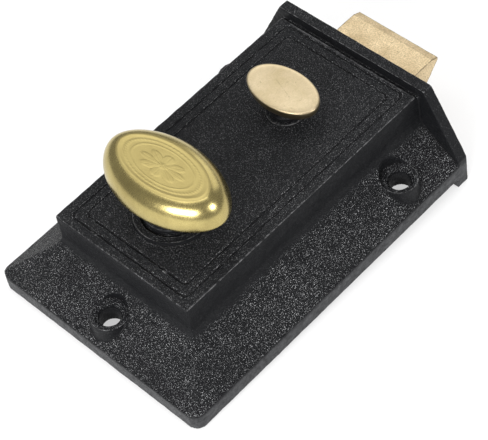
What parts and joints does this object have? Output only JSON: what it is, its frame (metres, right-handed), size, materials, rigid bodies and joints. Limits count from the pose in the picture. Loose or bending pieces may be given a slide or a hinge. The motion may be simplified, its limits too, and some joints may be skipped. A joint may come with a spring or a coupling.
{
  "type": "rim night latch",
  "caption": "Surface-mounted rim night latch: black cast-iron case, brass bevelled latch bolt, large oval brass turn knob and small oval snib knob.",
  "frame": {"origin": "on the mounting plane, on the axis of the turn knob and of the lock cylinder's tailpiece", "axes": "+X towards the forend and the bolt's nose; +Y across the latch, parallel to the door edge; +Z out of the door, towards the knobs"},
  "size_m": [0.1367, 0.083, 0.0544],
  "materials": {
    "black_cast_iron": "sand-cast grain under satin black",
    "dark_steel": "blackened",
    "plain_steel": "turned and stamped, plain",
    "spring_steel": "spring wire, grey",
    "cast_brass": "raw sand-cast, satin",
    "polished_brass": "satin polished",
    "pale_brass": "satin polished, pale"
  },
  "bodies": {
    "case_body": {"case": "black_cast_iron", "back_cover": "dark_steel", "cover_screws": "plain_steel", "bolt_guide_strap": "plain_steel", "guide_screws": "plain_steel", "spindle_bush": "cast_brass", "spring_guide_pin": "plain_steel", "bolt_spring": "spring_steel"},
    "bolt_body": {"latch_bolt": "cast_brass", "bolt_yoke": "plain_steel", "yoke_rivets": "plain_steel"},
    "turn_body": {"turn_knob": "polished_brass", "turn_neck": "black_cast_iron", "turn_neck_pin": "dark_steel", "turn_spindle": "plain_steel", "arm_spacer_tube": "plain_steel", "retractor_arm": "plain_steel", "arm_retaining_clip": "spring_steel"},
    "snib_body": {"snib_knob": "pale_brass", "snib_neck": "black_cast_iron", "snib_neck_pin": "dark_steel", "snib_spindle": "plain_steel", "snib_friction_washer": "spring_steel"}
  },
  "joints": [
    {"name": "bolt_slide", "type": "slide", "parent": "case_body", "child": "bolt_body", "axis": [-1, 0, 0], "range_m": [0, 0.0167], "stiffness_N_per_m": 150, "springref_m": -0.012, "deforming": ["bolt_spring"]},
    {"name": "turn_knob_turn", "type": "hinge", "parent": "case_body", "child": "turn_body", "pos_m": [0, 0, 0.029], "axis": [0, 0, 1], "range_deg": [0, 80]},
    {"name": "snib_turn", "type": "hinge", "parent": "case_body", "child": "snib_body", "pos_m": [0.048, 0, 0.029], "axis": [0, 0, 1], "range_deg": [0, 90]}
  ],
  "couplings": [
    {"joint": "turn_knob_turn", "follows": "bolt_slide", "rad_per_m": 83.54}
  ]
}
